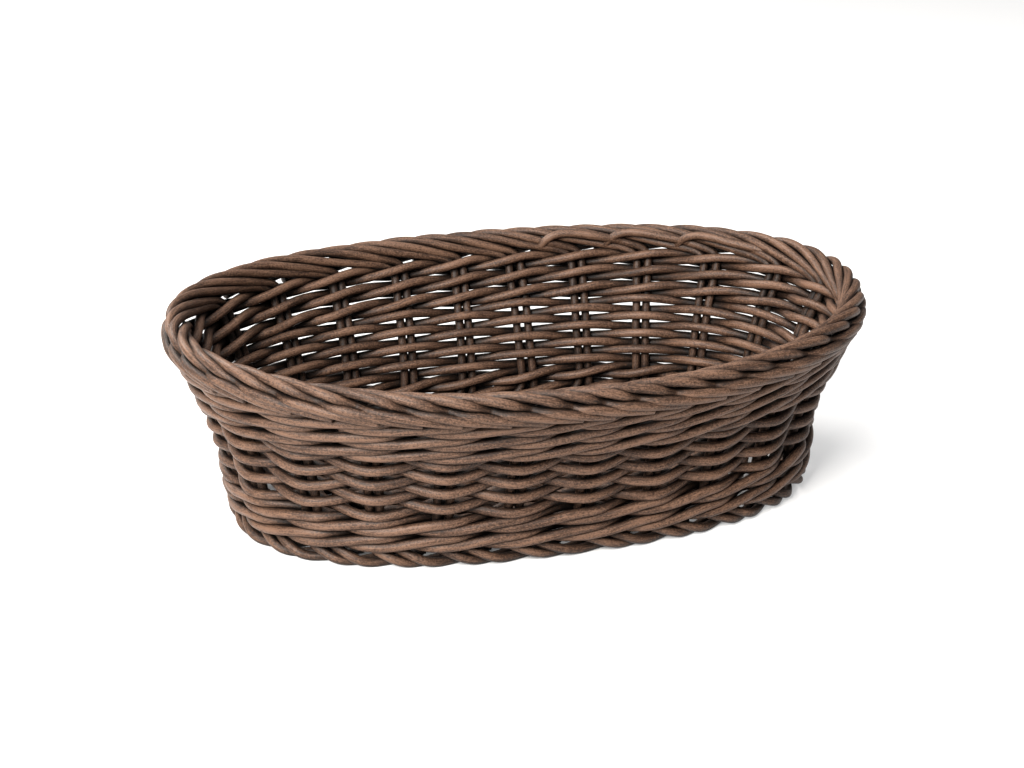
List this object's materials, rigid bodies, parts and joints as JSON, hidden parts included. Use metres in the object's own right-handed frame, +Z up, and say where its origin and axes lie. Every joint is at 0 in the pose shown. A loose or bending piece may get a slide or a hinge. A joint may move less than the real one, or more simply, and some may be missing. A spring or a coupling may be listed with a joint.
{
  "type": "woven fruit basket",
  "caption": "Oval woven fruit basket of round dark plastic strands, open on top, with a flared wall, a rolled rim border and a low foot border.",
  "frame": {"origin": "middle of the foot, on the surface that the basket stands on", "axes": "+X along the long side, +Y across, +Z up"},
  "size_m": [0.2986, 0.208, 0.0881],
  "materials": {
    "stake_strand": "matt dark brown extruded strand with a fine grain",
    "weaver_strand": "matt dark brown extruded strand with a fine grain",
    "base_strand": "matt dark brown extruded strand with a fine grain"
  },
  "bodies": {
    "root": {"base_cross_rod_1": "base_strand", "base_cross_rod_2": "base_strand", "base_cross_rod_3": "base_strand", "base_cross_rod_4": "base_strand", "base_mat_weaver_1": "base_strand", "base_mat_weaver_2": "base_strand", "base_spine_rod_1": "base_strand", "base_spine_rod_2": "base_strand", "base_spine_rod_3": "base_strand", "base_spine_rod_4": "base_strand", "base_spine_rod_5": "base_strand", "base_spine_rod_6": "base_strand", "border_closing_strands": "stake_strand", "foot_waling_weaver_1": "weaver_strand", "foot_waling_weaver_2": "weaver_strand", "foot_waling_weaver_3": "weaver_strand", "foot_waling_weaver_4": "weaver_strand", "foot_waling_weaver_5": "weaver_strand", "foot_waling_weaver_6": "weaver_strand", "randing_weaver_1": "weaver_strand", "randing_weaver_2": "weaver_strand", "randing_weaver_3": "weaver_strand", "randing_weaver_4": "weaver_strand", "randing_weaver_5": "weaver_strand", "randing_weaver_6": "weaver_strand", "randing_weaver_7": "weaver_strand", "randing_weaver_8": "weaver_strand", "rim_waling_weaver_1": "weaver_strand", "rim_waling_weaver_2": "weaver_strand", "rim_waling_weaver_3": "weaver_strand", "rim_waling_weaver_4": "weaver_strand", "rim_waling_weaver_5": "weaver_strand", "rim_waling_weaver_6": "weaver_strand", "rim_waling_weaver_7": "weaver_strand", "rim_waling_weaver_8": "weaver_strand", "rim_waling_weaver_9": "weaver_strand", "stake_pair_01": "stake_strand", "stake_pair_02": "stake_strand", "stake_pair_03": "stake_strand", "stake_pair_04": "stake_strand", "stake_pair_05": "stake_strand", "stake_pair_06": "stake_strand", "stake_pair_07": "stake_strand", "stake_pair_08": "stake_strand", "stake_pair_09": "stake_strand", "stake_pair_10": "stake_strand", "stake_pair_11": "stake_strand", "stake_pair_12": "stake_strand", "stake_pair_13": "stake_strand", "stake_pair_14": "stake_strand", "stake_pair_15": "stake_strand", "stake_pair_16": "stake_strand", "stake_pair_17": "stake_strand", "stake_pair_18": "stake_strand", "stake_pair_19": "stake_strand", "stake_pair_20": "stake_strand", "stake_pair_21": "stake_strand", "stake_pair_22": "stake_strand", "stake_pair_23": "stake_strand", "stake_pair_24": "stake_strand"}
  },
  "joints": []
}
